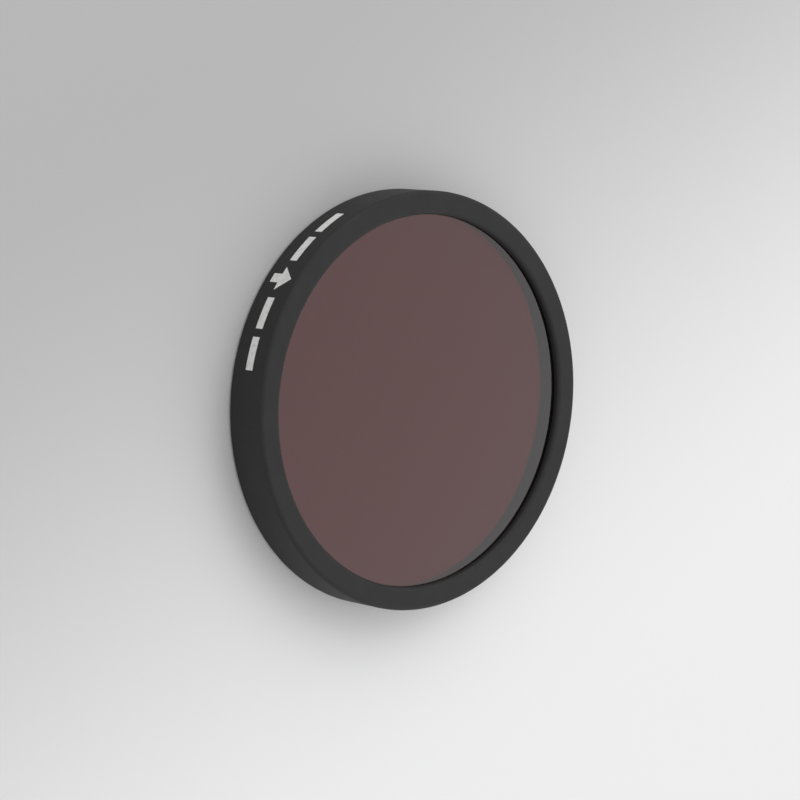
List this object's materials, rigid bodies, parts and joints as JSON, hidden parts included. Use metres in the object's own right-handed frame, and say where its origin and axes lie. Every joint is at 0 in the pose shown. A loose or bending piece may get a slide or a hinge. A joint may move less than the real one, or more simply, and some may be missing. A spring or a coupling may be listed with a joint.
{
  "type": "optical bandpass filter",
  "caption": "Round bandpass filter: a coated dark red glass disc in a thin black anodised cell ring with a smooth rim, held from behind by a slotted retaining ring.",
  "frame": {"origin": "on the optical axis, at the rear face that the filter lies on", "axes": "+Z along the optical axis, out of the front face; +Y is up in the picture, where the filter stands on its rim"},
  "size_m": [0.05, 0.05, 0.0059],
  "materials": {
    "cell_anodised": "fine satin black anodised, bead blasted",
    "coated_glass": "polished, with a half mirror coating that reflects grey and lets deep red through",
    "retainer_anodised": "turned, black anodised"
  },
  "bodies": {
    "root": {"cell_ring": "cell_anodised", "filter_glass": "coated_glass", "retaining_ring": "retainer_anodised"}
  },
  "joints": []
}
